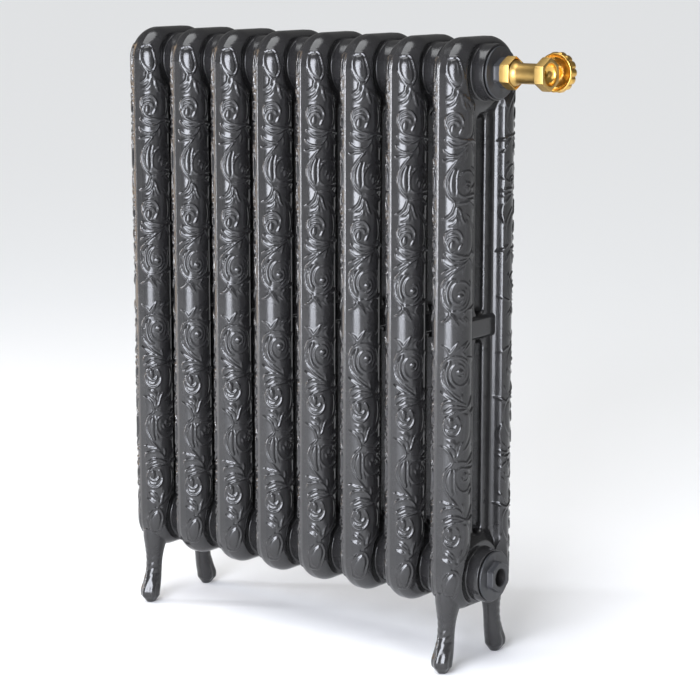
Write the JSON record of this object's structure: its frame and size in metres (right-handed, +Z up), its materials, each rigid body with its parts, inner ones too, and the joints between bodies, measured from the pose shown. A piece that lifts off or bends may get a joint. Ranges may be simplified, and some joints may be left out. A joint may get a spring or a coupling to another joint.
{
  "type": "column radiator with valve",
  "caption": "Ornate cast-iron column radiator on cast feet, with an air vent at one end and a straight brass handwheel valve at the other.",
  "frame": {"origin": "middle of the bounding box in X and Y, on the floor under the feet", "axes": "+X along the row of sections towards the valve, +Y from the room side to the wall side, +Z up"},
  "size_m": [0.7145, 0.1568, 0.844],
  "materials": {
    "iron_paint": "anthracite satin paint on cast iron",
    "plug_iron": "dark satin paint",
    "black_iron": "black malleable iron",
    "gasket": "matt sheet gasket",
    "brass": "polished and satin brass",
    "steel": "bright steel",
    "rubber": "black rubber"
  },
  "bodies": {
    "radiator": {"section_1": "iron_paint", "section_2": "iron_paint", "section_3": "iron_paint", "section_4": "iron_paint", "section_5": "iron_paint", "section_6": "iron_paint", "section_7": "iron_paint", "section_8": "iron_paint", "upper_nipple_1": "black_iron", "upper_nipple_2": "black_iron", "upper_nipple_3": "black_iron", "upper_nipple_4": "black_iron", "upper_nipple_5": "black_iron", "upper_nipple_6": "black_iron", "upper_nipple_7": "black_iron", "upper_section_gaskets": "gasket", "lower_nipple_1": "black_iron", "lower_nipple_2": "black_iron", "lower_nipple_3": "black_iron", "lower_nipple_4": "black_iron", "lower_nipple_5": "black_iron", "lower_nipple_6": "black_iron", "lower_nipple_7": "black_iron", "lower_section_gaskets": "gasket", "top_bushing": "plug_iron", "top_bushing_gasket": "gasket", "bottom_bushing": "plug_iron", "bottom_bushing_gasket": "gasket", "vent_plug": "plug_iron", "vent_plug_gasket": "gasket", "blind_plug": "plug_iron", "blind_plug_gasket": "gasket", "air_vent": "brass", "tailpiece": "brass", "union_nut": "brass", "valve_body": "brass", "bonnet": "brass", "gland_nut": "brass", "gland_packing": "gasket", "bonnet_seal": "gasket", "union_seal": "gasket"},
    "handwheel": {"handwheel": "brass", "stem": "brass", "wheel_screw": "brass"},
    "valve_disc": {"valve_disc": "brass", "disc_washer": "rubber"},
    "bleed_screw": {"bleed_screw": "steel"}
  },
  "joints": [
    {"name": "handwheel_turn", "type": "hinge", "parent": "radiator", "child": "handwheel", "pos_m": [0.33075, 0.04, 0.799], "axis": [0, 1, 0], "range_deg": [0, 720]},
    {"name": "disc_lift", "type": "slide", "parent": "radiator", "child": "valve_disc", "axis": [0, 1, 0], "range_m": [0, 0.003]},
    {"name": "bleed_screw_turn", "type": "hinge", "parent": "radiator", "child": "bleed_screw", "pos_m": [-0.35425, 0, 0.799], "axis": [-1, 0, 0], "range_deg": [0, 360]}
  ],
  "couplings": [
    {"joint": "disc_lift", "follows": "handwheel_turn", "m_per_rad": 0.00023873}
  ]
}
